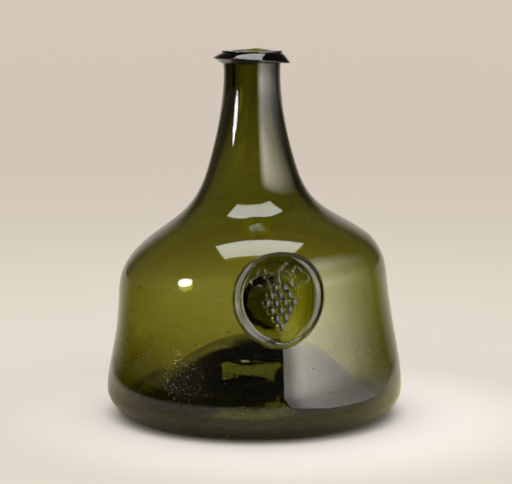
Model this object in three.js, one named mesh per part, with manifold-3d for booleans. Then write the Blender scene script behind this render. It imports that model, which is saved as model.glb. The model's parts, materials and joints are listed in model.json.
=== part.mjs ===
// A squat wine bottle of dark green glass, mallet-shaped, blown and tooled by hand, empty and open.
// Millimetres, +Z up. The origin is the middle of the ring that the bottle stands on, and the seal
// faces -Y. Four pieces of glass: the blown body, the rim laid round the neck below the lip, the
// stamped seal on the wall, and the scar that the pontil rod left under the base.

import * as THREE from 'three';
import { mergeVertices } from 'three/addons/utils/BufferGeometryUtils.js';
import Module from 'manifold-3d';

// Outside of the body, named from the floor up
const heelRadius = 66.8;
const heelRise = 12.9;
const heelInset = 13.8;
const standWidth = 3;
const wallRise = 43.6;
const wallTaper = 6.05;
const shoulderRise = 29;
const shoulderInset = 17.1;
const sweepRise = 25.7;
const neckRadius = 12.7;
const neckFootSpread = 7.75;
const neckRise = 44.8;
const flareRise = 8.6;
const lipRadius = 13.6;
const lipRounding = 0.4;

// Wall thickness, which a blown body has in plenty at the base and the neck, and little of between
const kickWall = 6.5;
const kickFlankWall = 6;
const baseWall = 8;
const heelWall = 3.6;
const bodyWall = 2.3;
const shoulderWall = 2.6;
const neckFootWall = 3.5;
const neckWall = 5;
const lipWall = 5.2;
const mouthRounding = 1;

// The kick, which is the hollow pushed up under the base
const kickHeight = 28.5;
const kickFlankInset = 22.7;
const kickFlankDrop = 8.3;
const troughInset = 9.8;
const heelInnerLift = 3.1;

// The bump that the stamp pushed in behind the seal
const bumpWidth = 24.8;
const bumpHeight = 22.6;
const bumpDepth = 6;
const bumpAcross = -3.4;
const bumpUp = -1;
const bumpCover = 1;

// The seal, a stamped pad with a raised border that follows the wall
const sealRadius = 20.1;
const sealCentreHeight = 58;
const sealFieldThickness = 2.1;
const sealBorderThickness = 3.5;
const sealBorderWidth = 3.6;
const sealTuck = 0.5;
const sealFlattening = 0.8;

// The string rim, tooled to a slanting band with a sharp lower edge that sits askew
const rimTopBelowLip = 1.25;
const rimDepth = 4.6;
const rimLedge = 0.9;
const rimLedgeFall = 0.25;
const rimReach = 3.6;
const rimEdgeDrop = 3.1;
const rimEdgeRounding = 0.5;
const rimAskew = 1.1;
const rimTiltSlope = 0.04;

// The pontil scar, a rough ring of glass under the kick
const scarRadius = 17;
const scarWidth = 4.4;
const scarThickness = 1.5;
const scarRoughness = 0.45;

// Clearance between each applied piece and the body
const seatClearance = 0.3;

// How the hot body settled: the neck leans a little to one side, the shoulder stands higher on
// another, and the mouth on a third. Each side is given by its compass angle from +X towards +Y.
const leanAngle = -10.5;
const leanShift = -1.09;
const leanFrom = 28.4;
const leanTo = 73.8;
const tiltAngle = -65;
const tiltSlope = 0.116;
const tiltHeight = 68.4;
const mouthTiltAngle = -100.5;
const mouthTiltSlope = 0.067;
const mouthTiltFrom = 150;
const mouthTiltTo = 162;

// Number of facets round the body, the seal and the scar
const bodySides = 56;
const sealSides = 48;
const scarSides = 40;

// Heights and radii that follow from the sizes above
const wallTopHeight = heelRise + wallRise;
const shoulderHeight = wallTopHeight + shoulderRise;
const neckFootHeight = shoulderHeight + sweepRise;
const flareHeight = neckFootHeight + neckRise;
const lipEdgeHeight = flareHeight + flareRise;
const lipHeight = lipEdgeHeight + lipRounding;
const standOuterRadius = heelRadius - heelInset;
const standInnerRadius = standOuterRadius - standWidth;
const wallTopRadius = heelRadius - wallTaper;
const shoulderRadius = wallTopRadius - shoulderInset;
const neckFootRadius = neckRadius + neckFootSpread;

// A knot of a profile: where it is, which way the outline runs there (degrees from straight up,
// outward positive), and how far its bend reaches to each side, as a share of the distance to the
// next knot.
function knot(radius, height, heading, before, after) {
  const angle = THREE.MathUtils.degToRad(heading);
  const place = new THREE.Vector2(radius, height);
  const way = new THREE.Vector2(Math.sin(angle), Math.cos(angle));
  return { place, way, before, after };
}

// The same knot moved through the glass, from the outside to the inside.
function inside(outer, wall) {
  const place = new THREE.Vector2(outer.place.x - wall * outer.way.y, outer.place.y + wall * outer.way.x);
  return { place, way: outer.way, before: outer.before, after: outer.after };
}

// Points along the smooth line through a row of knots, with a number of steps for each stretch.
function lineThrough(knots, steps) {
  const points = [knots[0].place.clone()];
  for (let i = 0; i + 1 < knots.length; i += 1) {
    const from = knots[i];
    const to = knots[i + 1];
    const reach = from.place.distanceTo(to.place);
    const leave = from.place.clone().addScaledVector(from.way, from.after * reach);
    const arrive = to.place.clone().addScaledVector(to.way, -to.before * reach);
    const stretch = new THREE.CubicBezierCurve(from.place, leave, arrive, to.place);
    points.push(...stretch.getPoints(steps[i]).slice(1));
  }
  return points;
}

// Knots of the body's outside
const kickTop = knot(0, kickHeight, 90, 0, 0.3);
const kickFlank = knot(standInnerRadius - kickFlankInset, kickHeight - kickFlankDrop, 128, 0.3, 0.4);
const standInner = knot(standInnerRadius, 0, 90, 0.16, 0);
const standOuter = knot(standOuterRadius, 0, 90, 0, 0.25);
const heel = knot(heelRadius, heelRise, 0, 0.44, 0.26);
const wallTop = knot(wallTopRadius, wallTopHeight, -4.9, 0.53, 0.28);
const shoulder = knot(shoulderRadius, shoulderHeight, -56.8, 0.6, 0.33);
const neckFoot = knot(neckFootRadius, neckFootHeight, -17.3, 0.48, 0.23);
const neck = knot(neckRadius, flareHeight, 0.8, 0.36, 0.4);
const lipEdge = knot(lipRadius, lipEdgeHeight, 4, 0.4, 0.55);
const lipTop = knot(lipRadius - lipRounding, lipHeight, -90, 0.55, 0);

// Knots of the body's inside
const kickTopInside = inside(kickTop, kickWall);
const kickFlankInside = inside(kickFlank, kickFlankWall);
const trough = knot(heelRadius - troughInset, baseWall, 90, 0.14, 0.4);
const heelInside = knot(heelRadius - heelWall, heelRise + heelInnerLift, 0, 0.4, 0.26);
const wallTopInside = inside(wallTop, bodyWall);
const shoulderInside = inside(shoulder, shoulderWall);
const neckFootInside = inside(neckFoot, neckFootWall);
const neckInside = inside(neck, neckWall);
const mouthRadius = lipRadius - lipWall;
const mouthEdge = knot(mouthRadius, lipHeight - mouthRounding, 4, 0.35, 0.55);
const mouthTop = knot(mouthRadius + mouthRounding, lipHeight, 90, 0.55, 0);

const undersideKnots = [kickTop, kickFlank, standInner];
const outsideKnots = [standOuter, heel, wallTop, shoulder, neckFoot, neck, lipEdge, lipTop];
const insideKnots = [
  kickTopInside, kickFlankInside, trough, heelInside, wallTopInside,
  shoulderInside, neckFootInside, neckInside, mouthEdge, mouthTop,
];

// The outside as a fine line with its length along the way, to lay the applied pieces on.
const fineOutside = lineThrough(outsideKnots, [40, 40, 60, 60, 40, 20, 10]);
const fineUnderside = lineThrough(undersideKnots, [40, 40]);
const outsideTravel = [0];
for (let i = 1; i < fineOutside.length; i += 1) {
  outsideTravel.push(outsideTravel[i - 1] + fineOutside[i].distanceTo(fineOutside[i - 1]));
}

// Value of one row of numbers where another, rising row has the value asked for.
function readOff(rising, values, wanted) {
  let i = 1;
  while (i < rising.length - 1 && rising[i] < wanted) {
    i += 1;
  }
  const share = (wanted - rising[i - 1]) / (rising[i] - rising[i - 1]);
  return values[i - 1] + share * (values[i] - values[i - 1]);
}

const outsideHeights = fineOutside.map((point) => point.y);
const outsideRadii = fineOutside.map((point) => point.x);
const undersideRadii = fineUnderside.map((point) => point.x);
const undersideHeights = fineUnderside.map((point) => point.y);
const sealCentreTravel = readOff(outsideHeights, outsideTravel, sealCentreHeight);

function neckRadiusAt(height) {
  return readOff(outsideHeights, outsideRadii, height);
}

function undersideAt(radius) {
  return readOff(undersideRadii, undersideHeights, radius);
}

// A point over the wall: how far across and up from the seal's centre, both measured along the
// glass, and how far off the wall. The normal is given too.
function overWall(across, up, lift) {
  const travel = sealCentreTravel + up;
  const radius = readOff(outsideTravel, outsideRadii, travel);
  const height = readOff(outsideTravel, outsideHeights, travel);
  const nearby = 0.5;
  const rise = readOff(outsideTravel, outsideHeights, travel + nearby)
    - readOff(outsideTravel, outsideHeights, travel - nearby);
  const spread = readOff(outsideTravel, outsideRadii, travel + nearby)
    - readOff(outsideTravel, outsideRadii, travel - nearby);
  const slant = Math.hypot(rise, spread);
  const angle = across / radius;
  const normal = new THREE.Vector3(
    rise / slant * Math.sin(angle),
    -rise / slant * Math.cos(angle),
    -spread / slant,
  );
  const point = new THREE.Vector3(radius * Math.sin(angle), -radius * Math.cos(angle), height);
  point.addScaledVector(normal, lift);
  return { point, normal };
}

// A share that rises smoothly from 0 to 1 between two values.
function easeBetween(value, low, high) {
  const share = THREE.MathUtils.clamp((value - low) / (high - low), 0, 1);
  return share * share * (3 - 2 * share);
}

// A level direction from its compass angle.
function towards(degrees) {
  const angle = THREE.MathUtils.degToRad(degrees);
  return new THREE.Vector3(Math.cos(angle), Math.sin(angle), 0);
}

const leanSide = towards(leanAngle);
const highSide = towards(tiltAngle);
const mouthSide = towards(mouthTiltAngle);

// Every piece goes through the same lean and tilts, so that the clearances stay. The standing ring
// stays level, and the land of the lip stays a plane.
function settle(geometry) {
  const places = geometry.getAttribute('position');
  const point = new THREE.Vector3();
  for (let i = 0; i < places.count; i += 1) {
    point.fromBufferAttribute(places, i);
    const along = point.dot(highSide);
    const inReach = point.z > 0 && point.z < 2 * tiltHeight;
    const swell = inReach ? Math.sin(Math.PI * point.z / (2 * tiltHeight)) ** 2 : 0;
    const shift = leanShift * easeBetween(point.z, leanFrom, leanTo);
    const mouthRise = mouthTiltSlope * point.dot(mouthSide) * easeBetween(point.z, mouthTiltFrom, mouthTiltTo);
    point.addScaledVector(leanSide, shift);
    point.z += tiltSlope * along * swell + mouthRise;
    places.setXYZ(i, point.x, point.y, point.z);
  }
  geometry.computeVertexNormals();
  return geometry;
}

// A body of revolution about the upright axis, from points that run round its section.
function turned(points, sides) {
  const geometry = new THREE.LatheGeometry(points, sides);
  geometry.rotateX(Math.PI / 2);
  geometry.deleteAttribute('normal');
  geometry.deleteAttribute('uv');
  return mergeVertices(geometry, 0.0001);
}

// A closed skin over a row of rings, each a list of as many points, with its first ring joined to
// its last one, or with each end drawn together to a middle point.
function ringed(rings, closesOnItself, startPoint, endPoint) {
  const positions = [];
  const triangles = [];
  const count = rings[0].length;
  rings.flat().forEach((point) => positions.push(point.x, point.y, point.z));
  const bands = closesOnItself ? rings.length : rings.length - 1;
  for (let i = 0; i < bands; i += 1) {
    const next = (i + 1) % rings.length;
    for (let j = 0; j < count; j += 1) {
      const a = i * count + j;
      const b = i * count + (j + 1) % count;
      const c = next * count + (j + 1) % count;
      const d = next * count + j;
      triangles.push(a, b, c, a, c, d);
    }
  }
  if (!closesOnItself) {
    const start = positions.length / 3;
    const end = start + 1;
    const last = (rings.length - 1) * count;
    positions.push(startPoint.x, startPoint.y, startPoint.z, endPoint.x, endPoint.y, endPoint.z);
    for (let j = 0; j < count; j += 1) {
      const next = (j + 1) % count;
      triangles.push(start, next, j, end, last + j, last + next);
    }
  }
  const geometry = new THREE.BufferGeometry();
  geometry.setAttribute('position', new THREE.Float32BufferAttribute(positions, 3));
  geometry.setIndex(triangles);
  return geometry;
}

const wasm = await Module();
wasm.setup();

function toSolid(geometry) {
  const vertProperties = new Float32Array(geometry.getAttribute('position').array);
  const triVerts = new Uint32Array(geometry.index.array);
  return new wasm.Manifold(new wasm.Mesh({ numProp: 3, vertProperties, triVerts }));
}

function toGeometry(solid) {
  const mesh = solid.getMesh();
  const geometry = new THREE.BufferGeometry();
  geometry.setAttribute('position', new THREE.BufferAttribute(new Float32Array(mesh.vertProperties), 3));
  geometry.setIndex(new THREE.BufferAttribute(new Uint32Array(mesh.triVerts), 1));
  return geometry;
}

// The blown shell: up the outside, over the lip, down the inside and over the kick.
function blownShell() {
  const underside = lineThrough(undersideKnots, [5, 6]);
  const outside = lineThrough(outsideKnots, [7, 8, 9, 8, 6, 2, 3]);
  const within = lineThrough(insideKnots, [4, 5, 4, 6, 7, 6, 5, 2, 3]);
  return turned([...underside, ...outside, ...within.reverse()], bodySides);
}

// The bump behind the seal: an egg shape half sunk in the wall, kept under the wall's outer skin.
function stampedBump() {
  const { point, normal } = overWall(bumpAcross, bumpUp, -bodyWall);
  const egg = new THREE.SphereGeometry(bumpWidth / 2, 28, 16);
  egg.deleteAttribute('normal');
  egg.deleteAttribute('uv');
  egg.scale(1, 2 * bumpDepth / bumpWidth, bumpHeight / bumpWidth);
  const turn = new THREE.Quaternion().setFromUnitVectors(new THREE.Vector3(0, -1, 0), normal);
  egg.applyQuaternion(turn);
  egg.translate(point.x, point.y, point.z);
  const skinKnots = [heel, wallTop, shoulder, neckFoot].map((outer) => inside(outer, bumpCover));
  const skin = lineThrough(skinKnots, [8, 9, 8]);
  const bottom = new THREE.Vector2(0, skin[0].y);
  const top = new THREE.Vector2(0, skin[skin.length - 1].y);
  const core = toSolid(turned([bottom, ...skin, top], bodySides));
  return toSolid(mergeVertices(egg, 0.0001)).intersect(core);
}

function bottleBody() {
  const whole = toSolid(blownShell()).add(stampedBump());
  return settle(toGeometry(whole));
}

// The seal's section from its middle to its edge and back under it: distance from the middle and
// height over the wall. The border is a half-round roll.
function sealSection() {
  const borderMiddle = sealRadius - sealBorderWidth / 2;
  const borderCrown = sealBorderThickness - sealFieldThickness;
  const section = [[0.35, sealFieldThickness], [0.7, sealFieldThickness]]
    .map(([share, height]) => [share * (sealRadius - sealBorderWidth), height]);
  for (let i = 0; i <= 6; i += 1) {
    const angle = Math.PI * (1 - i / 6);
    const distance = borderMiddle + sealBorderWidth / 2 * Math.cos(angle);
    section.push([distance, sealFieldThickness + borderCrown * Math.sin(angle)]);
  }
  section.push([sealRadius, (sealFieldThickness + seatClearance) / 2]);
  section.push([sealRadius - sealTuck, seatClearance]);
  [0.75, 0.5, 0.25].forEach((share) => section.push([share * sealRadius, seatClearance]));
  return section;
}

// The stamp pressed the face of the seal part of the way towards a plane.
function sealPoint(across, up, lift) {
  const middle = overWall(0, 0, lift);
  const { point } = overWall(across, up, lift);
  const hollow = middle.point.clone().sub(point).dot(middle.normal);
  const pressed = easeBetween(lift, seatClearance, sealFieldThickness);
  return point.addScaledVector(middle.normal, hollow * sealFlattening * pressed);
}

function sealPad() {
  const rings = sealSection().map(([distance, height]) => {
    const ring = [];
    for (let i = 0; i < sealSides; i += 1) {
      const angle = 2 * Math.PI * i / sealSides;
      ring.push(sealPoint(distance * Math.cos(angle), distance * Math.sin(angle), height));
    }
    return ring;
  });
  const front = sealPoint(0, 0, sealFieldThickness);
  const back = sealPoint(0, 0, seatClearance);
  return settle(ringed(rings.reverse(), false, back, front));
}

// The string rim: from the neck under the lip out over a narrow ledge, down the slant to the edge
// and back under it to the neck, with its inner face following the neck.
function rimSection() {
  const top = lipHeight - rimTopBelowLip;
  const bottom = top - rimDepth;
  const edgeHeight = top - rimEdgeDrop;
  const ledge = neckRadiusAt(top) + rimLedge;
  const edge = neckRadiusAt(top) + rimReach;
  const section = [];
  for (let i = 0; i <= 4; i += 1) {
    const height = bottom + (top - bottom) * i / 4;
    section.push(new THREE.Vector2(neckRadiusAt(height) + seatClearance, height));
  }
  section.push(new THREE.Vector2(ledge, top - rimLedgeFall));
  section.push(new THREE.Vector2(edge - rimEdgeRounding, edgeHeight + rimEdgeRounding));
  section.push(new THREE.Vector2(edge, edgeHeight));
  section.push(new THREE.Vector2(edge - rimEdgeRounding, edgeHeight - rimEdgeRounding));
  return section;
}

function stringRim() {
  const section = rimSection();
  const neckSide = neckRadiusAt(lipHeight - rimTopBelowLip) + seatClearance;
  const geometry = turned([...section, section[0].clone()].reverse(), bodySides);
  const places = geometry.getAttribute('position');
  const point = new THREE.Vector3();
  for (let i = 0; i < places.count; i += 1) {
    point.fromBufferAttribute(places, i);
    const radius = Math.hypot(point.x, point.y);
    const outward = THREE.MathUtils.clamp((radius - neckSide) / (rimReach - seatClearance), 0, 1);
    const drop = rimAskew * outward * point.dot(leanSide) / radius;
    places.setZ(i, point.z - drop + rimTiltSlope * point.dot(mouthSide));
  }
  return settle(geometry);
}

// The scar: a ring whose thickness comes and goes as the glass tore off, hanging from the kick.
function scarPoint(angle, turnAround) {
  const torn = Math.sin(3 * angle + 1) + 0.6 * Math.sin(7 * angle) + 0.4 * Math.sin(11 * angle + 2);
  const thickness = scarThickness + scarRoughness * torn / 2;
  const radius = scarRadius + scarWidth / 2 * Math.cos(turnAround);
  const hang = thickness * Math.max(0, Math.sin(turnAround));
  const height = undersideAt(radius) - seatClearance - hang;
  return new THREE.Vector3(radius * Math.cos(angle), radius * Math.sin(angle), height);
}

function pontilScar() {
  const rings = [];
  for (let i = 0; i < scarSides; i += 1) {
    const angle = 2 * Math.PI * i / scarSides;
    const ring = [0, 0.2, 0.4, 0.6, 0.8, 1].map((share) => scarPoint(angle, Math.PI * share));
    ring.push(scarPoint(angle, Math.PI * 4 / 3), scarPoint(angle, Math.PI * 5 / 3));
    rings.push(ring);
  }
  return settle(ringed(rings, true));
}

// Colours of the glass, which looks nearly black where it is thick or seen edge on
const bodyGlass = new THREE.MeshStandardMaterial({ color: 0x64641a, roughness: 0.06, metalness: 0 });
const rimGlass = new THREE.MeshStandardMaterial({ color: 0x1b1a10, roughness: 0.08, metalness: 0 });
const sealGlass = new THREE.MeshStandardMaterial({ color: 0x5c5c18, roughness: 0.1, metalness: 0 });
const scarGlass = new THREE.MeshStandardMaterial({ color: 0x2c2c12, roughness: 0.35, metalness: 0 });

function piece(name, geometry, material) {
  const mesh = new THREE.Mesh(geometry, material);
  mesh.name = name;
  return mesh;
}

const bottle = new THREE.Group();
bottle.name = 'wine_bottle';
bottle.add(piece('bottle_body', bottleBody(), bodyGlass));
bottle.add(piece('string_rim', stringRim(), rimGlass));
bottle.add(piece('seal', sealPad(), sealGlass));
bottle.add(piece('pontil_scar', pontilScar(), scarGlass));

export default bottle;
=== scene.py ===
# %% [markdown]
# # A squat wine bottle of dark green glass
#
# The real bottle is one gather of glass, blown, pressed in at the base and tooled at the mouth,
# with three small additions: a rim for the string, a stamped seal, and the scar of the pontil rod.
# This lesson builds those four pieces over the fixed frame and lights them as in a small studio.
# Lengths are written in millimetres and turned into metres when they go into a mesh.

import math

import bmesh
import bpy
import numpy as np
from mathutils import Matrix, Vector, noise
from mathutils.geometry import interpolate_bezier
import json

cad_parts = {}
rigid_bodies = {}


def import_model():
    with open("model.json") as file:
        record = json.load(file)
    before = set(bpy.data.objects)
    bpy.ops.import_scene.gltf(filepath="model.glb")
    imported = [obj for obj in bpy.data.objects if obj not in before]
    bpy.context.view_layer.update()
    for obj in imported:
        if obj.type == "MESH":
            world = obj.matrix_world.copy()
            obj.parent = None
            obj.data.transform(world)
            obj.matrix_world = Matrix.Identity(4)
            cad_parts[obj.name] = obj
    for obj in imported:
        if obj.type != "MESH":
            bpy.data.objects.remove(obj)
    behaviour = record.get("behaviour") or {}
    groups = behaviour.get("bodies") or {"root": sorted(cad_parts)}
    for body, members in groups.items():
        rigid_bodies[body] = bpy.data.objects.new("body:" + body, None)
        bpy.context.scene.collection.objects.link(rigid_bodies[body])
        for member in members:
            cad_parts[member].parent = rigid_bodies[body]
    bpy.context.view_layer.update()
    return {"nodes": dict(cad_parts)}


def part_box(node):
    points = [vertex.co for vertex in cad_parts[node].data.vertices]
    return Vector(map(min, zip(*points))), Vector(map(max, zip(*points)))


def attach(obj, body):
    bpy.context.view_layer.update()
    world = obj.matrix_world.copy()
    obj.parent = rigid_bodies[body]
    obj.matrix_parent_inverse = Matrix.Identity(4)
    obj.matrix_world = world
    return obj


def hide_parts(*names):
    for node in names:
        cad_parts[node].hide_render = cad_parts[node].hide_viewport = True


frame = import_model()
MM = 0.001
for name, node in sorted(frame["nodes"].items()):
    low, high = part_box(name)
    print(name, [round(1000 * v, 1) for v in low], [round(1000 * v, 1) for v in high])

# %% [markdown]
# ## The outline of the glass
#
# A blown body is a body of revolution, so one outline gives all of it. The outline could be
# traced point by point, but a few knots with a heading each, joined by Bezier curves, stay smooth
# and easy to change. The wall is thick at the base and thin at the shoulder, because the glass
# ran down while it was hot, so the inside gets knots of its own, set in by the wall's thickness.

# %% Knots and the line through them
def knot(radius, height, heading, before, after):
    """A point of the outline; heading in degrees from straight up, outward positive."""
    turn = math.radians(heading)
    return {"place": Vector((radius, height)), "way": Vector((math.sin(turn), math.cos(turn))),
            "before": before, "after": after}


def set_in(outer, wall):
    """The same knot on the inside of the glass."""
    way = outer["way"]
    return {**outer, "place": outer["place"] + wall * Vector((-way.y, way.x))}


def line_through(knots, steps):
    """Points along the smooth line through a row of knots."""
    points = [knots[0]["place"]]
    for start, end, count in zip(knots, knots[1:], steps):
        reach = (end["place"] - start["place"]).length
        leave = start["place"] + start["after"] * reach * start["way"]
        arrive = end["place"] - end["before"] * reach * end["way"]
        points += interpolate_bezier(start["place"], leave, arrive, end["place"], count + 1)[1:]
    return points


def radii_and_heights(line):
    """The two coordinates of a line's points, as arrays."""
    return np.array([p.x for p in line]), np.array([p.y for p in line])


# %% Knots outside
kick_top = knot(0, 28.5, 90, 0, 0.3)
kick_flank = knot(27.3, 20.2, 128, 0.3, 0.4)
stand_inner = knot(50, 0, 90, 0.16, 0)
stand_outer = knot(53, 0, 90, 0, 0.25)
heel = knot(66.8, 12.9, 0, 0.44, 0.26)
wall_top = knot(60.75, 56.5, -4.9, 0.53, 0.28)
shoulder = knot(43.65, 85.5, -56.8, 0.6, 0.33)
neck_foot = knot(20.45, 111.2, -17.3, 0.48, 0.23)
neck = knot(12.7, 156, 0.8, 0.36, 0.4)
lip_edge = knot(13.6, 164.6, 4, 0.4, 0.55)
lip_top = knot(13.2, 165, -90, 0.55, 0)
outer_knots = [stand_outer, heel, wall_top, shoulder, neck_foot, neck, lip_edge, lip_top]

# %% Knots inside
dome_top = knot(0, 35, 90, 0, 0.36)
dome_flank = knot(34.5, 24.4, 131, 0.32, 0.36)
trough = knot(57, 6.8, 90, 0.2, 0.4)
heel_inside = knot(63.2, 14.8, 0, 0.4, 0.26)
mouth_edge = knot(8.4, 164, 4, 0.35, 0.55)
mouth_top = knot(9.4, 165, 90, 0.55, 0)
inner_wall_knots = [heel_inside, set_in(wall_top, 2.0), set_in(shoulder, 2.8), set_in(neck_foot, 3.5),
                    set_in(neck, 5)]

# %% The whole outline
underside = line_through([kick_top, kick_flank, stand_inner], [22, 22])
outside = line_through(outer_knots, [22, 30, 30, 26, 30, 8, 6])
inside = line_through([dome_top, dome_flank, trough] + inner_wall_knots + [mouth_edge, mouth_top],
                      [30, 50, 14, 24, 24, 18, 20, 6, 6])
outline = underside + outside + inside[::-1]
print("outline:", len(outline), "points,", round(max(p.x for p in outline), 1), "mm at the widest")

# %% [markdown]
# ## How the hot glass settled
#
# No free-blown bottle is true. This one leans a little to the left, and its shoulder stands higher on one
# side, its mouth a little higher at the front. The same small shift is applied to every piece, so
# the pieces keep their fit. The standing ring stays level, and the land of the lip stays flat.
# Left and right are as the camera sees them, and a side is an angle from +X towards +Y.

# %% Lean and tilt
RIGHT_SIDE = math.radians(-10.5)
HIGH_SIDE = math.radians(-65)
MOUTH_SIDE = math.radians(-100.5)
LEAN = 1.09
SHOULDER_TILT, TILT_TOP = 0.116, 136.8
MOUTH_TILT = 0.067


def ease(value, low, high):
    """0 at low, 1 at high and smooth between them."""
    share = np.clip((value - low) / (high - low), 0, 1)
    return share * share * (3 - 2 * share)


def settled(points):
    """Shifts an array of points, in millimetres, as the hot body moved: the lean goes to the left."""
    x, y, z = points.T.copy()
    along = x * math.cos(HIGH_SIDE) + y * math.sin(HIGH_SIDE)
    swell = np.where((z > 0) & (z < TILT_TOP), np.sin(math.pi * z / TILT_TOP) ** 2, 0)
    shift = -LEAN * ease(z, 28.4, 73.8)
    mouth_rise = MOUTH_TILT * (x * math.cos(MOUTH_SIDE) + y * math.sin(MOUTH_SIDE)) * ease(z, 150, 162)
    return np.stack([x + shift * math.cos(RIGHT_SIDE), y + shift * math.sin(RIGHT_SIDE),
                     z + SHOULDER_TILT * along * swell + mouth_rise], 1)


# %% Reading and writing the points of a mesh
def points_of(mesh):
    """The points of a mesh as an array, in millimetres."""
    points = np.empty(len(mesh.vertices) * 3)
    mesh.vertices.foreach_get("co", points)
    return points.reshape(-1, 3) / MM


def place_points(mesh, points):
    """Writes an array of points, in millimetres, back to a mesh."""
    mesh.vertices.foreach_set("co", (points * MM).ravel())
    mesh.update()


def normals_of(mesh):
    """The direction that each point of a mesh faces."""
    normals = np.empty(len(mesh.vertices) * 3)
    mesh.vertex_normals.foreach_get("vector", normals)
    return normals.reshape(-1, 3)


def waves(points, grain, seed):
    """Smooth noise between about -1 and 1 at each point; grain is a wave's length each way."""
    shift = Vector((seed, 2.3 * seed, -1.7 * seed))
    stretched = points / np.array(grain)
    return np.array([noise.noise(Vector(p) + shift) for p in stretched])


# %% [markdown]
# ## Turning an outline into glass
#
# A full spin of the outline about the upright axis gives the closed skin. The spin leaves a stack
# of points on the axis, which are merged, and the faces are then turned to point outwards.

# %% Spin
def turned(points, steps, closed=False):
    """A mesh turned about +Z from points (radius, height) in millimetres."""
    shape = bmesh.new()
    row = [shape.verts.new((p[0] * MM, 0, p[1] * MM)) for p in points]
    for a, b in zip(row, row[1:] + row[:1] if closed else row[1:]):
        shape.edges.new((a, b))
    bmesh.ops.spin(shape, geom=shape.verts[:] + shape.edges[:], cent=(0, 0, 0), axis=(0, 0, 1),
                   angle=2 * math.pi, steps=steps, use_merge=True)
    bmesh.ops.remove_doubles(shape, verts=shape.verts, dist=1e-7)
    bmesh.ops.recalc_face_normals(shape, faces=shape.faces)
    return shape


def finished(shape, name, node):
    """A smooth object from a bmesh, which rides on the bottle and stands for its frame node."""
    mesh = bpy.data.meshes.new(name)
    shape.to_mesh(mesh)
    shape.free()
    mesh.shade_smooth()
    piece = bpy.data.objects.new(name, mesh)
    bpy.context.scene.collection.objects.link(piece)
    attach(piece, "root")
    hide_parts(node)
    return piece


# %% [markdown]
# ## The blown body
#
# The body is the spin of the whole outline. Behind the seal the stamp pushed a bump into the
# wall. The bump could be a piece of its own, but then its edge would show in the glass, so the
# faces there are cut finer and their points move inwards.

# %% Where a point lies on the wall
fine = line_through(outer_knots, [40, 40, 60, 60, 40, 20, 10])
outer_radii, outer_heights = radii_and_heights(fine)
outer_travel = np.append(0, np.cumsum([(b - a).length for a, b in zip(fine, fine[1:])]))
SEAL_HEIGHT = 58
SEAL_TRAVEL = np.interp(SEAL_HEIGHT, outer_heights, outer_travel)


def along_wall(travel):
    """Radius and height of the wall's outside, by the way along it from the standing ring."""
    return np.interp(travel, outer_travel, outer_radii), np.interp(travel, outer_travel, outer_heights)


def over_wall(across, up, lift):
    """Places over the wall: across and up from the seal's middle along the glass, and off it."""
    travel = SEAL_TRAVEL + up
    radius, height = along_wall(travel)
    upper, lower = along_wall(travel + 0.5), along_wall(travel - 0.5)
    spread, rise = upper[0] - lower[0], upper[1] - lower[1]
    slant = np.hypot(rise, spread)
    angle = across / radius
    normal = np.stack([rise / slant * np.sin(angle), -rise / slant * np.cos(angle), -spread / slant], 1)
    place = np.stack([radius * np.sin(angle), -radius * np.cos(angle), height], 1)
    return place + normal * lift[:, None], normal


# %% Spin the body
body_shape = turned(outline, 180)
print("body:", len(body_shape.faces), "faces from the spin")

# %% Finer faces behind the seal
BUMP_LEFT, BUMP_WIDTH, BUMP_HEIGHT = 3.4, 12.4, 11.3


def in_patch(point):
    """Whether a point of the inner skin lies on the bump or close round it."""
    across = math.atan2(point.x, -point.y) * 60.5
    spread = math.hypot((across + BUMP_LEFT) / BUMP_WIDTH, (point.z / MM - 57) / BUMP_HEIGHT)
    return spread < 1.35 and math.hypot(point.x, point.y) / MM < 58.6 and point.z > 0.04


patch = [edge for edge in body_shape.edges if all(in_patch(v.co) for v in edge.verts)]
bmesh.ops.subdivide_edges(body_shape, edges=patch, cuts=2, use_grid_fill=True)
print("patch behind the seal:", len(patch), "edges cut")

body = finished(body_shape, "bottle_body_glass", "bottle_body")

# %% [markdown]
# ## The uneven skins
#
# The outside was rolled smooth and the inside never was, so each skin gets its own faint waves.
# The shoulder has a slight corner on its right, and the lip a raised bit at the back. The
# inner skin of the kick sank on the left and runs askew in front, which decides what it mirrors.
# Noise and eased falls move the points directly, which keeps the skins closed and even to shade.

# %% Waves in both skins
places = points_of(body.data)
outward = normals_of(body.data)
radius = np.hypot(places[:, 0], places[:, 1])
wall_radius = np.interp(places[:, 2], outer_heights, outer_radii)
outer_skin = radius > wall_radius - 0.2
off_floor = ease(places[:, 2], 0, 6) * ease(165 - places[:, 2], 0, 4)
fine_waves = waves(places, (60, 60, 7), 3.1)
slow_waves = waves(places, (42, 42, 30), 11.7)
amount = np.where(outer_skin, 0.05 * slow_waves + 0.012 * fine_waves,
                  0.28 * slow_waves + 0.05 * fine_waves) * off_floor
places += outward * amount[:, None]
print("waves:", round(float(np.abs(amount).max()), 2), "mm at the most")

# %% The shoulder's corner
CORNER, CORNER_HEIGHT, CORNER_TALL, CORNER_WIDE = 0.32, 78.5, 3.2, 0.2
turn = np.arctan2(places[:, 1], places[:, 0])
side = turn - RIGHT_SIDE
corner = CORNER * np.exp(-(side / CORNER_WIDE) ** 2 - ((places[:, 2] - CORNER_HEIGHT) / CORNER_TALL) ** 2)
places += outward * np.where(outer_skin, corner, -corner)[:, None]

# %% The kick's inner skin
under_r, under_h = radii_and_heights(underside)


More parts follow.
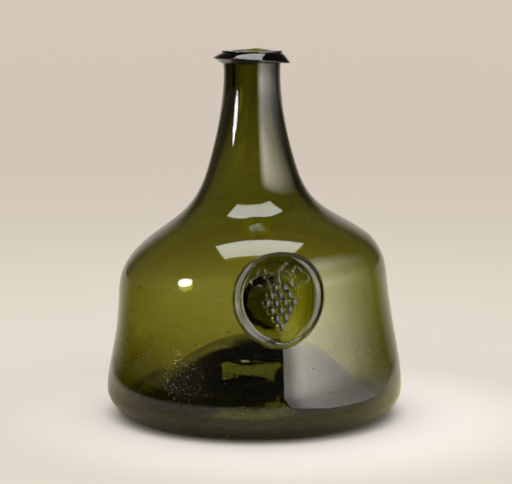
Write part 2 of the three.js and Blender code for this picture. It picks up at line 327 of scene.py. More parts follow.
def skin_shift(radius, turn):
    """How far the kick's inner skin lies off its turned outline: sunk on the left, askew in front."""
    to_right = radius * np.cos(turn - RIGHT_SIDE)
    leftness = np.clip(-np.cos(turn - RIGHT_SIDE), 0, 1)
    sunk = 3.2 * leftness ** 5 * ease(radius, 6, 24) * ease(54 - radius, 0, 14)
    frontness = np.clip(-np.sin(turn - RIGHT_SIDE), 0, 1)
    fade = ease(radius, 14, 26) * ease(50 + 5 * ease(to_right, 1, 9) - radius, 0, 11)
    return frontness ** 2 * fade * (0.0023 * to_right ** 2 - 0.11 * to_right) - sunk


over_kick = places[:, 2] > np.interp(radius, under_r, under_h) + 3
dome_skin = (radius < 56) & (places[:, 2] < 40) & over_kick
places[:, 2] += np.where(dome_skin, skin_shift(radius, turn), 0)
print("kick's inner skin:", int(dome_skin.sum()), "points")

# %% The raised bit of the lip
LIP_RISE, LIP_SIDE, LIP_WIDE = 0.65, math.radians(71), 0.32
uneven_lip = LIP_RISE * np.exp(-((turn - LIP_SIDE) / LIP_WIDE) ** 2) * ease(places[:, 2], 163, 165)
places[:, 2] += uneven_lip

# %% The bump, and the settling of the whole body
BUMP_DEEP = 6.2
travel = np.interp(places[:, 2], outer_heights, outer_travel) - SEAL_TRAVEL
across = np.arctan2(places[:, 0], -places[:, 1]) * wall_radius
spread = np.hypot((across + BUMP_LEFT) / BUMP_WIDTH, (travel + 1) / BUMP_HEIGHT)
inner_skin = (radius < wall_radius - 1.5) & (radius > wall_radius - 8) & (places[:, 2] > 40)
push = np.where(inner_skin & (places[:, 1] < 0), BUMP_DEEP * np.sqrt(np.clip(1 - spread ** 2.9, 0, 1)), 0)
places += outward * push[:, None]
place_points(body.data, settled(places))
print("bump:", int((push > 0).sum()), "points moved, up to", round(push.max(), 1), "mm")

# %% [markdown]
# ## The applied seal
#
# A blob of hot glass was dropped on the wall and stamped. It could be modelled where it lies, but
# it is easier to spin it flat as a coin, raise the relief on that, and lay the coin over the wall.
# The border is a roll that the stamp squeezed out, broader on its left, with slanting sides.

# %% The coin
SEAL_RADIUS, FIELD, BORDER, BORDER_WIDTH = 20.1, 2.1, 3.15, 2.8
SHOULDER = SEAL_RADIUS - 0.45
field_radius = SHOULDER - BORDER_WIDTH
section = [(field_radius * i / 125, FIELD) for i in range(125)]
for i in range(25):
    turn = math.pi * (1 - i / 24)
    section.append((SHOULDER - BORDER_WIDTH / 2 + BORDER_WIDTH / 2 * math.cos(turn),
                    FIELD + (BORDER - FIELD) * math.sin(turn)))
rolled_edge = ((0.33, 1.75), (0.14, 1.3), (0.02, 0.85), (0.03, 0.5), (0.2, 0.25), (0.5, 0.12), (1, 0.06))
section += [(SEAL_RADIUS - inset, height) for inset, height in rolled_edge]
section += [(SEAL_RADIUS * share, 0.06) for share in (0.85, 0.7, 0.55, 0.4, 0.25, 0.1, 0)]
seal = finished(turned(section, 430), "seal_glass_pad", "seal")
coin = points_of(seal.data)
across, up, lift = coin.T.copy()
print("coin:", len(coin), "points")

# %% [markdown]
# ## The grapes on the seal
#
# The field carries a bunch of grapes under two vine leaves. A picture of heights would need an
# image, and cut-out meshes would have hard edges. Raising each point by how deep it lies inside a
# grape or a leaf, or how near a stalk, gives the soft edges of pressed glass.

# %% Stalks, leaves and grapes, in millimetres from the seal's middle
def arc(points, steps=14):
    """A smooth line through a few points."""
    rows = [Vector((*p, 0)) for p in points]
    line = []
    for i in range(len(rows) - 1):
        a, b = rows[i], rows[i + 1]
        before = rows[i - 1] if i else a
        after = rows[i + 2] if i + 2 < len(rows) else b
        line += interpolate_bezier(a, a + (b - before) / 6, b - (after - a) / 6, b, steps)
    return [(p.x, p.y) for p in line]


stalks = [arc([(0, 5.4), (-0.4, 8.8), (0.8, 11.8), (3.2, 13.8)]),
          arc([(-0.2, 9.8), (-2.4, 10), (-4.4, 9.2)]),
          arc([(0.2, 10.4), (2.6, 10), (4.6, 9)])]
leaves = [(-7.8, 8, 4.7, 3.4), (8.2, 7.6, 4.5, -0.2)]
grapes = [(3.7 * (j - (count - 1) / 2), 4.2 - 3.15 * i)
          for i, count in enumerate((2, 3, 4, 3, 2, 1)) for j in range(count)]
print("relief:", len(grapes), "grapes,", len(leaves), "leaves,", len(stalks), "stalks")

# %% How high the relief stands
STALK_RISE, STALK_WIDE = 0.75, 0.42
LEAF_RISE, LEAF_RIM = 0.45, 0.2
GRAPE_RISE, GRAPE_RADIUS = 0.85, 1.75


def distance_to_lines(across, up, rows):
    """How far each spot lies from the nearest of a few lines."""
    nearest = np.full(len(across), 99.0)
    spots = np.stack([across, up], 1)
    for row in rows:
        corners = np.array(row)
        for a, b in zip(corners, corners[1:]):
            way = b - a
            share = np.clip(((spots - a) @ way) / max(way @ way, 1e-9), 0, 1)
            nearest = np.minimum(nearest, np.hypot(*(spots - a - share[:, None] * way).T))
    return nearest


def inside_leaf(across, up, x, y, size, turn):
    """How far each spot lies inside the edge of a vine leaf with three lobes; below 0 outside it."""
    angle = np.arctan2(up - y, across - x) - turn
    from_tip = np.abs((angle + math.pi) % (2 * math.pi) - math.pi)
    notch = 1 - 0.3 * np.exp(-((from_tip - math.pi) / 0.35) ** 2)
    return size * (0.8 + 0.2 * np.cos(3 * angle)) * notch - np.hypot(across - x, up - y)


def relief(across, up):
    """How high the stalks, leaves and grapes stand off the field at each spot."""
    raised = STALK_RISE * np.exp(-(distance_to_lines(across, up, stalks) / STALK_WIDE) ** 2)
    for x, y, size, turn in leaves:
        depth = inside_leaf(across, up, x, y, size, turn)
        rim = LEAF_RIM * np.exp(-((depth - 0.45) / 0.35) ** 2)
        raised = np.maximum(raised, LEAF_RISE * ease(depth, -0.3, 0.3) + rim)
    for x, y in grapes:
        depth = np.clip(1 - ((across - x) ** 2 + (up - y) ** 2) / GRAPE_RADIUS ** 2, 0, 1)
        raised = np.maximum(raised, GRAPE_RISE * depth ** 0.6)
    return raised


# %% Raise the border and the relief
crest = SEAL_RADIUS - 1.25
from_middle = np.hypot(across, up)
leftness = -(0.966 * across + 0.259 * up) / np.maximum(from_middle, 1e-6)
inner_slope = 1.2 + 2.5 * ease(leftness, 0.1, 0.95)
roll = ease(from_middle, crest - inner_slope, crest)
top = (lift > 1.9) & (from_middle < crest)
lift = np.where(top, FIELD + (BORDER - FIELD) * roll, lift)
edge_fade = ease(crest - inner_slope - from_middle, 0, 1.2)
uneven = waves(coin, (9, 9, 9), 5.3) * 0.05 + waves(coin, (3.5, 3.5, 3.5), 8.9) * 0.015
askew = 0.045 * across * ease(crest - from_middle, -1, 3)
raised = np.where(top, relief(across, up) * edge_fade, 0)
lift = lift + raised + np.where(lift > 0.5, uneven, 0) + np.where(top, askew, 0)


# %% Lay the seal on the wall
def laid_on_wall(across, up, lift):
    """The stamp pressed the face of the seal part of the way towards a plane."""
    middle, normal = over_wall(np.zeros(1), np.zeros(1), np.ones(1))
    place, _ = over_wall(across, up, lift)
    middle = middle + normal * (lift[:, None] - 1)
    hollow = ((middle - place) * normal).sum(1)
    return place + normal * (0.8 * hollow * ease(lift, 0.3, FIELD))[:, None]


place_points(seal.data, settled(laid_on_wall(across, up, lift)))
print("seal:", round((lift.max() - lift.min()), 2), "mm thick")

# %% [markdown]
# ## The string rim
#
# A thread of glass was laid round the neck and tooled to a slanting band with a sharp lower edge,
# so that a string could hold the cork. It could be a bent tube, but its tooled section is the
# same all round, so it is a spin of that section, and then it is set a little askew.

# %% The rim's section
rim_line = line_through([knot(13.45, 163.75, 80, 0, 0.4), knot(14.4, 163.5, 128, 0.4, 0.3),
                         knot(16.8, 161.1, 138, 0.3, 0.35), knot(17.1, 160.65, 185, 0.4, 0.4),
                         knot(16.5, 160.2, 260, 0.35, 0.3), knot(13.1, 159.15, 255, 0.3, 0)],
                        [6, 12, 8, 8, 12])
back_heights = np.linspace(159.4, 163.6, 10)
rim_back = [Vector((float(np.interp(h, outer_heights, outer_radii)) + 0.05, h)) for h in back_heights]
rim = finished(turned(rim_line + rim_back, 160, closed=True), "string_rim_glass", "string_rim")

# %% Its slant and unevenness
places = points_of(rim.data)
radius = np.hypot(places[:, 0], places[:, 1])
outward = np.clip((radius - 13.75) / 3.3, 0, 1)
level = (places[:, 0] * math.cos(RIGHT_SIDE) + places[:, 1] * math.sin(RIGHT_SIDE)) / radius
places[:, 2] -= 1.1 * outward * level
places[:, 2] += 0.04 * (places[:, 0] * math.cos(MOUTH_SIDE) + places[:, 1] * math.sin(MOUTH_SIDE))
places[:, 2] += 0.22 * outward * waves(places, (9, 9, 40), 2.2)
places[:, :2] *= (1 + 0.010 * outward * waves(places, (12, 12, 2.5), 6.4))[:, None]
place_points(rim.data, settled(places))
print("rim:", len(rim.data.vertices), "points")

# %% [markdown]
# ## The pontil scar
#
# The rod that held the base tore away and left a rough ring of glass under the kick. A displace
# modifier would do, but the ring must also follow the kick, so its points are set in one go: a
# spun ring that hangs from the kick, deeper and shallower by strong, uneven noise.

# %% The scar
SCAR_RADIUS, SCAR_WIDE, SCAR_DEEP = 17, 2.2, 1.5
half_turn = [math.pi * i / 18 for i in range(19)]
scar_section = [Vector((SCAR_RADIUS + SCAR_WIDE * math.cos(t), -SCAR_DEEP * math.sin(t))) for t in half_turn]
scar_section += [Vector((SCAR_RADIUS - SCAR_WIDE * s, 0)) for s in (0.6, 0.2, -0.2, -0.6)]
scar = finished(turned(scar_section, 150, closed=True), "pontil_scar_glass", "pontil_scar")
places = points_of(scar.data)
radius = np.hypot(places[:, 0], places[:, 1])
angle = np.arctan2(places[:, 1], places[:, 0])
hang = np.clip(-places[:, 2], 0, None)
torn = np.sin(3 * angle + 1) + 0.6 * np.sin(7 * angle) + 0.4 * np.sin(11 * angle + 2)
rough = waves(places, (3, 3, 3), 4.4) + 0.5 * waves(places, (1.2, 1.2, 1.2), 9.6)
kick_height = np.interp(radius, under_r, under_h)
places[:, 2] = kick_height - 0.06 - hang * (1 + 0.15 * torn + 0.28 * rough)
place_points(scar.data, settled(places))
print("scar:", len(scar.data.vertices), "points")

# %% [markdown]
# ## Bubbles in the glass
#
# A bubble is a small hollow inside the wall. Pale specks in the material would be quicker, but
# they wouldn't bend the light. A small sphere whose faces point inwards, joined to the body's
# mesh, is such a hollow: a ray that meets it leaves the glass and enters air. Most bubbles lie low
# in the wall and in the kick, where the glass is thick.

# %% Places for bubbles
chance = np.random.default_rng(41)
dome_r, dome_h = radii_and_heights(line_through([dome_top, dome_flank, trough], [40, 40]))
wall_r, wall_h = radii_and_heights(line_through(inner_wall_knots, [40] * 4))


def kick_glass(radius):
    """The lowest and the highest glass of the base at a radius."""
    return np.interp(radius, under_r, under_h), np.interp(radius, dome_r, dome_h)


def bubble_spot():
    """A place in the middle of the glass, and the room there is for a bubble."""
    turn = chance.uniform(0, 2 * math.pi)
    if chance.random() < 0.42:
        r = 46 * math.sqrt(chance.random())
        low, high = kick_glass(r)
        h, room = low + (high - low) * chance.uniform(0.3, 0.7), (high - low) * 0.25
    else:
        h = 15 + 125 * chance.random() ** 2.1
        outer, inner = np.interp(h, outer_heights, outer_radii), np.interp(h, wall_h, wall_r)
        r, room = inner + (outer - inner) * chance.uniform(0.4, 0.6), (outer - inner) * 0.25
    return np.array([r * math.cos(turn), r * math.sin(turn), h]), room


def crowded_spot():
    """A place just under the inner skin of the kick's near left flank, where bubbles crowd."""
    turn = math.radians(chance.normal(-150, 24))
    r = chance.normal(38, 7)
    high = kick_glass(r)[1]
    return np.array([r * math.cos(turn), r * math.sin(turn), high - 0.9 - 1.2 * chance.random()]), 0.5


# %% Scatter the bubbles
BUBBLES, CROWD = 400, 120
bubbles = bmesh.new()
for i in range(BUBBLES):
    spot, room = bubble_spot() if i < BUBBLES - CROWD else crowded_spot()
    size = min(0.18 + 0.42 * chance.random() ** 1.6, room)
    reach, bearing = math.hypot(spot[0], spot[1]), math.atan2(spot[1], spot[0])
    low, high = kick_glass(reach)
    if spot[2] < high:
        spot[2] += skin_shift(reach, bearing) * (spot[2] - low) / (high - low)
    middle = settled(spot[None])[0] * MM
    stretch = Matrix.Diagonal((1, chance.uniform(1, 1.5), 1, 1))
    bmesh.ops.create_uvsphere(bubbles, u_segments=8, v_segments=6, radius=size * MM,
                              matrix=Matrix.Translation(middle) @ Matrix.Rotation(bearing, 4, "Z") @ stretch)
bmesh.ops.reverse_faces(bubbles, faces=bubbles.faces)
bubbles.from_mesh(body.data)
bubbles.to_mesh(body.data)
bubbles.free()
body.data.shade_smooth()
print("body with bubbles:", len(body.data.polygons), "faces")

# %% [markdown]
# ## Adding shader nodes
#
# Each finish below is a small net of nodes. Adding and linking them one call at a time works, but
# it hides what the net does. A helper that takes values or the sockets of earlier nodes as inputs
# lets each net read like a formula.

# %% A helper for shader trees
class Net:
    """Adds nodes to a shader tree. An input takes a value, or a socket, which is linked to it."""

    def __init__(self, tree):
        self.tree = tree
        tree.nodes.clear()

    def fill(self, node, inputs):
        """Sets or links the inputs of a node, by their names or numbers."""
        for name, value in inputs.items():
            if isinstance(value, bpy.types.NodeSocket):
                self.tree.links.new(value, node.inputs[name])
            else:
                node.inputs[name].default_value = value
        return node

    def add(self, kind, inputs=None):
        return self.fill(self.tree.nodes.new("ShaderNode" + kind), inputs or {})

    def math(self, operation, *values):
        node = self.add("Math")
        node.operation = operation
        return self.fill(node, dict(enumerate(values))).outputs[0]

    def vector(self, operation, *values):
        """The result as one number for a length, distance or dot product, else as a vector."""
        node = self.add("VectorMath")
        node.operation = operation
        self.fill(node, dict(enumerate(values)))
        return node.outputs["Value" if operation in ("LENGTH", "DISTANCE", "DOT_PRODUCT") else "Vector"]

    def mapped(self, value, start, end, low=0, high=1, smooth=True):
        """Low where the value is at start or before it, high at end or past it."""
        node = self.add("MapRange")
        node.interpolation_type = "SMOOTHSTEP" if smooth else "LINEAR"
        return self.fill(node, {"Value": value, "From Min": start, "From Max": end,
                                "To Min": low, "To Max": high}).outputs["Result"]

    def noise(self, place, scale, detail):
        return self.add("TexNoise", {"Vector": place, "Scale": scale, "Detail": detail}).outputs["Fac"]


# %% [markdown]
# ## Old glass
#
# The glass is clear but deeply coloured: on its way through, light loses its blue first and its
# red and green more slowly, so the thin wall looks olive and the thick base nearly black. A tint
# of the surface couldn't do that, so the colour is in the volume. The surface itself is glossy,
# with faint streaks from blowing and fine wear. The kick is lumpy inside, and low on the outside
# there are a patch of pits and a few burst seeds.

# %% A shared group for the surface of blown glass
def blown_surface():
    """Roughness and height of blown glass, from streaks, wear, lumps, pits and burst seeds."""
    group = bpy.data.node_groups.new("blown_surface", "ShaderNodeTree")
    for label, value in (("Streaks", 1.0), ("Wear", 1.0), ("Smooth", 0.02)):
        socket = group.interface.new_socket(label, in_out="INPUT", socket_type="NodeSocketFloat")
        socket.default_value = value
    for label in ("Roughness", "Height"):
        group.interface.new_socket(label, in_out="OUTPUT", socket_type="NodeSocketFloat")
    net = Net(group)
    given = group.nodes.new("NodeGroupInput").outputs
    place = net.add("TexCoord").outputs["Object"]

    stretched = net.add("Mapping", {"Vector": place, "Scale": (30, 30, 420)}).outputs["Vector"]
    streaks = net.math("MULTIPLY", net.noise(stretched, 1, 3), given["Streaks"])
    scratches = net.mapped(net.noise(place, 900, 4), 0.55, 0.8, 0, 0.12, smooth=False)
    worn = net.math("ADD", net.math("MULTIPLY", scratches, given["Wear"]), given["Smooth"])

    from_axis = net.vector("LENGTH", net.vector("MULTIPLY", place, (1, 1, 0)))
    within = net.mapped(from_axis, 0.0585, 0.0545)
    low = net.mapped(net.add("SeparateXYZ", {"Vector": place}).outputs["Z"], 0.046, 0.036)
    lumps = net.math("MULTIPLY", net.math("MULTIPLY", within, low), net.noise(place, 420, 2))
    uneven = net.math("MULTIPLY_ADD", lumps, 0.5, streaks)

    pits = net.mapped(net.noise(place, 1150, 1), 0.63, 0.7, smooth=False)
    in_patch = net.mapped(net.vector("DISTANCE", place, (-0.041, -0.05, 0.027)), 0.017, 0.006)
    seeds = net.add("TexVoronoi", {"Vector": place, "Scale": 150}).outputs["Distance"]
    outside_low = net.math("MAXIMUM", net.math("SUBTRACT", low, within), 0)
    burst = net.math("MULTIPLY", net.mapped(seeds, 0.1, 0.05), outside_low)
    marks = net.math("MAXIMUM", net.math("MULTIPLY", in_patch, pits), burst)

    net.fill(group.nodes.new("NodeGroupOutput"), {"Roughness": net.math("MULTIPLY_ADD", marks, 0.4, worn),
                                                  "Height": net.math("MULTIPLY_ADD", marks, 1.5, uneven)})
    return group


surface_group = blown_surface()
print("surface group:", len(surface_group.nodes), "nodes")


# %% Glass materials
def glass(name, streaks, wear, smooth, colour=(0.6, 0.602, 0.0), density=750.0):
    """Clear glossy glass whose colour comes from its volume."""
    material = bpy.data.materials.new(name)
    material.use_nodes = True
    net = Net(material.node_tree)
    surface = net.add("Group")
    surface.node_tree = surface_group
    net.fill(surface, {"Streaks": streaks, "Wear": wear, "Smooth": smooth})
    bump = net.add("Bump", {"Distance": 0.0001, "Strength": 0.25, "Height": surface.outputs["Height"]})
    shader = net.add("BsdfPrincipled", {"Base Color": (1, 1, 1, 1), "Transmission Weight": 1, "IOR": 1.52,
                                        "Roughness": surface.outputs["Roughness"],
                                        "Normal": bump.outputs["Normal"]})
    volume = net.add("VolumeAbsorption", {"Color": (*colour, 1), "Density": density})
    net.add("OutputMaterial", {"Surface": shader.outputs["BSDF"], "Volume": volume.outputs["Volume"]})
    return material


for piece, slot, material in (
        (body, "body_glass", glass("olive_glass", 0.5, 0.6, 0.012)),
        (rim, "rim_glass", glass("rim_thread_glass", 0.6, 0.6, 0.02, (0.5, 0.42, 0.3), 2600)),
        (seal, "seal_glass", glass("stamped_glass", 0.4, 0.8, 0.02)),
        (scar, "scar_glass", glass("torn_glass", 1.0, 1.0, 0.22))):
    piece.data.materials.append(material)
    print(piece.name, "has", material.name)

# %% [markdown]
# ## The camera
#
# The photograph was taken from a little above, a little to the left of the seal, and from far off,
# so the bottle's sides hardly converge. A camera without perspective would come close, but a long
# lens at 1.3 m sees the base a little more from above than the mouth, as any real camera does.

# %% Camera
CAMERA_SIDE, CAMERA_RISE, CAMERA_DISTANCE = math.radians(10.5), 0.176, 1.3
MIDDLE_HEIGHT = 0.07
MIDDLE = Vector((0, 0, MIDDLE_HEIGHT))
front = Vector((-math.sin(CAMERA_SIDE), -math.cos(CAMERA_SIDE), 0))
right = Vector((math.cos(CAMERA_SIDE), -math.sin(CAMERA_SIDE), 0))
line_of_sight = -(front * math.cos(CAMERA_RISE) + Vector((0, 0, math.sin(CAMERA_RISE))))

camera = bpy.data.objects.new("camera", bpy.data.cameras.new("camera"))
bpy.context.scene.collection.objects.link(camera)
bpy.context.scene.camera = camera
camera.data.sensor_fit = "HORIZONTAL"
camera.data.sensor_width = 36
camera.data.lens = 202.36
camera_height = MIDDLE_HEIGHT + CAMERA_DISTANCE * math.sin(CAMERA_RISE)
camera.location = front * CAMERA_DISTANCE * math.cos(CAMERA_RISE) + Vector((0, 0, camera_height))
aim = MIDDLE + right.cross(line_of_sight) * 0.00818 + right * 0.00067
camera.rotation_euler = (aim - camera.location).to_track_quat("-Z", "Y").to_euler()
print("camera at", [round(v, 3) for v in camera.location])

# %% [markdown]
# ## The lamps
#
# Glass shows its surroundings, so the lamps are shaped as they appear in it: an overhead softbox,
# which the shoulder mirrors as two pale quads, and a small round lamp at the left. They only show
# in the glass. Light for the pale sheet comes from a large lamp of its own, which could be a sun,
# but a near, broad lamp leaves the soft shadow close round the base.

# %% Lamps
UP = Vector((0, 0, 1))


def standing(x, y, z, place):
    """The matrix of an object at a place, whose own axes point along x, y and z."""
    return Matrix.Translation(place) @ Matrix((x, y, z)).transposed().to_4x4()


def around(azimuth, elevation, distance):
    """A place round the bottle; azimuth from the camera's side towards the right, in degrees."""
    a, e = math.radians(azimuth), math.radians(elevation)
    level = front * math.cos(a) + right * math.sin(a)
    return MIDDLE + distance * (level * math.cos(e) + Vector((0, 0, math.sin(e))))


def lamp(name, place, towards, size, radiance, shape="RECTANGLE", upright=UP, lights_sheet=False):
    """An area lamp that only shows in the glass, or that only lights the sheet."""
    data = bpy.data.lights.new(name, "AREA")
    data.shape = shape
    data.size, data.size_y = size
    area = size[0] * size[1] * (math.pi / 4 if shape == "DISK" else 1)
    data.energy = radiance * math.pi * area
    unit = bpy.data.objects.new(name, data)
    bpy.context.scene.collection.objects.link(unit)
    back = (place - towards).normalized()
    side = upright.cross(back).normalized()
    unit.matrix_world = standing(side, back.cross(side), back, place)
    unit.visible_camera = False
    unit.visible_diffuse = lights_sheet
    unit.visible_glossy = not lights_sheet
    unit.visible_transmission = not lights_sheet
    print(name, "at", [round(v, 2) for v in place])


above = Vector((0, 0, 0.835)) + front * 0.01
lamp("overhead_softbox", above, above - UP, (0.62, 0.40), 6.6, upright=front)
lamp("round_lamp", around(-61, 11.5, 1.0), MIDDLE, (0.24, 0.24), 20.0, shape="DISK")
high = Vector((0, 0, 1.4)) - right * 0.08
lamp("sheet_light", high, high - UP, (1.9, 1.9), 1.65, upright=front, lights_sheet=True)

# %% [markdown]
# ## The side panel
#
# The tall grey gleam down the right of the bottle is a lit panel, seen in the outer wall. An area
# lamp is equally bright all over, and this gleam fades towards its far end and its top. So the
# panel is a mesh with a glowing material whose strength follows two ramps, along it and up it. Its
# foot runs on as a narrowing card towards the bottle, which carries the gleam down to the heel.

# %% A colour ramp
def ramp(net, factor, stops):
    """Each stop has a place and a colour or a grey level."""
    node = net.add("ValToRGB", {"Fac": factor})
    elements = node.color_ramp.elements
    while len(elements) < len(stops):
        elements.new(1)
    for element, (place, colour) in zip(elements, stops):
        element.position = place
        element.color = (*colour, 1) if isinstance(colour, tuple) else (colour, colour, colour, 1)
    return node.outputs["Color"]


# %% The panel's glow
PANEL_REACH, PANEL_HEIGHT, PANEL_STRENGTH = 0.9, 1.15, 7.4


def panel_material():
    """A glow that falls off along the panel, up it and along its card."""
    material = bpy.data.materials.new("lit_panel")
    material.use_nodes = True
    net = Net(material.node_tree)
    place = net.add("SeparateXYZ", {"Vector": net.add("TexCoord").outputs["Object"]}).outputs
    per_reach = net.math("DIVIDE", place["X"], net.math("ADD", place["Z"], PANEL_REACH))
    along = net.mapped(net.math("MULTIPLY", per_reach, PANEL_REACH), -0.755, 1.65, smooth=False)
    fall = ramp(net, along, ((0, 0.36), (0.05, 0.46), (0.1, 0.84), (0.14, 1), (0.215, 0.83), (0.315, 0.6),
                            (0.38, 0.47), (0.435, 0.38), (0.475, 0.27), (0.585, 0.16), (0.69, 0.08),
                            (0.83, 0.045), (1, 0)))
    heights = ((0, 0.7), (0.03, 0.8), (0.07, 1), (0.12, 1), (0.22, 0.62), (0.34, 0.62), (0.46, 0.95),
               (0.6, 0.9), (0.8, 0.6), (PANEL_HEIGHT, 0))
    up = ramp(net, net.math("DIVIDE", place["Y"], PANEL_HEIGHT), [(h / PANEL_HEIGHT, v) for h, v in heights])
    on_card = net.mapped(place["Z"], -0.75, 0, 0.75, 1, smooth=False)
    strength = net.math("MULTIPLY", on_card, net.math("MULTIPLY", fall, up))
    glow = net.add("Emission", {"Color": (1, 0.94, 0.89, 1),
                                "Strength": net.math("MULTIPLY", strength, PANEL_STRENGTH)})
    net.add("OutputMaterial", {"Surface": glow.outputs["Emission"]})
    return material


# %% The panel and its card
panel_shape = bmesh.new()
bmesh.ops.create_grid(panel_shape, x_segments=1, y_segments=1, size=0.5)
PANEL_LENGTH, PANEL_MIDDLE, CARD_SHARE = 2.405, 0.4475, 0.13
widened = (Matrix.Translation((PANEL_MIDDLE, PANEL_HEIGHT / 2, 0))
           @ Matrix.Diagonal((PANEL_LENGTH, PANEL_HEIGHT, 1, 1)))
bmesh.ops.transform(panel_shape, verts=panel_shape.verts, matrix=widened)
foot_edge = [e for e in panel_shape.edges if all(abs(v.co.y) < 1e-6 for v in e.verts)]
card_edge = bmesh.ops.extrude_edge_only(panel_shape, edges=foot_edge)["geom"]
card_verts = [v for v in card_edge if isinstance(v, bmesh.types.BMVert)]
bmesh.ops.scale(panel_shape, verts=card_verts, vec=(CARD_SHARE, 1, CARD_SHARE),
                space=Matrix.Translation((0, 0, PANEL_REACH)))
bmesh.ops.translate(panel_shape, verts=card_verts, vec=(0, 0.004, 0))
panel_mesh = bpy.data.meshes.new("side_panel")
panel_shape.to_mesh(panel_mesh)
panel_shape.free()
panel_mesh.materials.append(panel_material())
panel = bpy.data.objects.new("side_panel", panel_mesh)
bpy.context.scene.collection.objects.link(panel)
foot = around(62, 0, PANEL_REACH)
foot.z = 0
sideways = UP.cross(foot.normalized())
panel.matrix_world = standing(sideways, UP, sideways.cross(UP), foot)
panel.visible_camera = False
panel.visible_diffuse = False
panel.visible_shadow = False
print("panel:", PANEL_LENGTH, "m long and", PANEL_HEIGHT, "m tall")

# %% [markdown]
# ## The pale sheet
#
# The bottle stands on one pale sheet that runs back far behind it. A curved backdrop would need
# its own light, so the sheet is flat, lit by its lamp near the bottle and glowing by itself
# further off, where it meets the tone of the background. As the glass mirrors it, it is lit only
# near the bottle and glows mostly behind it, as if the studio round it were dark. Near the bottle
# its colour holds a painted pool of light, and where the glass mirrors it there, painted olive
# light, with painted shade to the left.

# %% A mix of two colours or numbers
def mixed(net, factor, a, b, kind="RGBA", blend="MIX"):
    """The first where the factor is 0, the second where it is 1."""
    node = net.add("Mix")
    node.data_type = kind
    node.blend_type = blend
    return net.fill(node, {"Factor": factor, "A": a, "B": b}).outputs["Result"]


# %% The sheet's paper
def sheet_material():
    """Paper that is lit near the bottle, with a painted pool of light there and painted olive light and
    shade where the glass mirrors it, and glows by itself further off.
    """
    material = bpy.data.materials.new("pale_sheet")
    material.use_nodes = True
    net = Net(material.node_tree)
    path = net.add("LightPath").outputs
    place = net.add("TexCoord").outputs["Object"]
    distance = net.vector("LENGTH", place)
    behind = net.vector("DOT_PRODUCT", net.vector("NORMALIZE", place), -front)

    # Painted pool of light: the paper is paler near the bottle's front right, as if more light fell there.
    painted_pool = net.mapped(net.vector("DISTANCE", place, front * 0.015 + right * 0.015), 0.14, 0.05)
    paper = mixed(net, painted_pool, (0.65, 0.6, 0.528, 1), (0.93, 0.872, 0.814, 1))
    # Painted olive light and painted shade: near the bottle, rays mirrored in the glass see the paper tinted
    # olive, as if lit through the bottle, and darker on its left.
    painted_shade_left = net.mapped(net.vector("DOT_PRODUCT", place, right), -0.01, -0.07, smooth=False)
    painted_reflection_tint = mixed(net, painted_shade_left, (0.97, 0.84, 0.42, 1), (0.5, 0.4, 0.24, 1))
    painted_tint_share = net.math("MULTIPLY", net.mapped(distance, 0.16, 0.08, 0, 0.8), path["Is Glossy Ray"])
    lit = net.add("BsdfDiffuse", {"Color": mixed(net, painted_tint_share, paper, painted_reflection_tint)})

    tone = ramp(net, net.mapped(distance, 0, 2.6, smooth=False),
                    ((0, (0.73, 0.68, 0.56)), (0.31, (0.638, 0.558, 0.473)), (1, (0.658, 0.578, 0.491))))
    through = net.mapped(behind, -0.4, 0.85, 0.45, 1, smooth=False)
    mirrored = net.mapped(behind, 0.45, 0.9, 0.03, 1)
    seen = mixed(net, path["Is Glossy Ray"], through, mirrored, kind="FLOAT")
    glow = net.add("Emission", {"Color": tone, "Strength": net.math("MAXIMUM", seen, path["Is Camera Ray"])})

    screened = net.math("MULTIPLY", net.mapped(distance, 0.16, 0.26), path["Is Glossy Ray"])
    fade = net.math("MAXIMUM", net.mapped(distance, 0.15, 0.6), screened)
    sheet = net.add("MixShader", {"Fac": fade, 1: lit.outputs["BSDF"], 2: glow.outputs["Emission"]})
    net.add("OutputMaterial", {"Surface": sheet.outputs["Shader"]})
    return material


# %% The sheet
SHEET_RADIUS = 6
sheet_shape = bmesh.new()
bmesh.ops.create_circle(sheet_shape, cap_ends=True, segments=96, radius=SHEET_RADIUS)
sheet_mesh = bpy.data.meshes.new("pale_sheet")
sheet_shape.to_mesh(sheet_mesh)
sheet_shape.free()
sheet = bpy.data.objects.new("pale_sheet", sheet_mesh)
bpy.context.scene.collection.objects.link(sheet)
sheet_mesh.materials.append(sheet_material())
print("sheet:", 2 * SHEET_RADIUS, "m across")

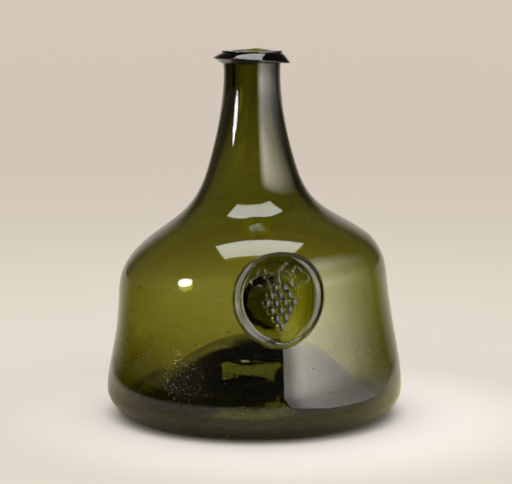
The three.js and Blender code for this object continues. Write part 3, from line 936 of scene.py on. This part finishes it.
# %% [markdown]
# ## The room
#
# The camera sees one pale tone beyond the sheet. The glass sees a dim room, brighter behind the
# bottle, where the backdrop stands, with a faint brown glow at the left. The sheet gets an even
# pale light from all sides. A lit room with walls could do that too, but it would take many more
# rays, so the world's colour follows the direction and the kind of ray instead.

# %% The room's tones
def room_light():
    """A world whose colour follows the direction and the kind of ray."""
    world = bpy.data.worlds.new("room")
    bpy.context.scene.world = world
    world.use_nodes = True
    net = Net(world.node_tree)
    path = net.add("LightPath").outputs
    way = net.add("TexCoord").outputs["Generated"]
    behind = net.vector("DOT_PRODUCT", way, -front)
    to_left = net.vector("DOT_PRODUCT", way, -right)

    through = net.mapped(behind, -0.3, 0.8, 0.03, 0.2)
    dim = mixed(net, path["Is Glossy Ray"], through, 0.062, kind="FLOAT")
    brightness = net.math("MAXIMUM", dim, net.mapped(behind, 0.8, 0.99, 0, 0.62))
    tone = mixed(net, brightness, (0, 0, 0, 1), (1.0, 0.92, 0.82, 1))
    brown = net.math("MULTIPLY", net.mapped(to_left, 0.3, 0.9, 0, 0.1), path["Is Glossy Ray"])
    seen = net.add("Background", {"Color": mixed(net, brown, tone, (1, 0.8, 0.45, 1), blend="ADD")})
    even = net.add("Background", {"Color": (0.62, 0.61, 0.59, 1)})
    pale = net.add("Background", {"Color": (0.66, 0.57, 0.48, 1)})
    room = net.add("MixShader", {"Fac": path["Is Diffuse Ray"], 1: seen.outputs["Background"],
                                 2: even.outputs["Background"]})
    whole = net.add("MixShader", {"Fac": path["Is Camera Ray"], 1: room.outputs["Shader"],
                                  2: pale.outputs["Background"]})
    net.add("OutputWorld", {"Surface": whole.outputs["Shader"]})
    return world


room = room_light()
print("room:", len(room.node_tree.nodes), "nodes")

# %% [markdown]
# ## The last settings
#
# Light passes many skins of glass and bounces between them, so a path may be longer than
# Blender's usual twelve bounces. The plain Standard view keeps the colours as they were set.

# %% Bounces and view
import json

bpy.context.scene.cycles.max_bounces = 24
bpy.context.scene.cycles.transmission_bounces = 24
bpy.context.scene.view_settings.view_transform = "Standard"
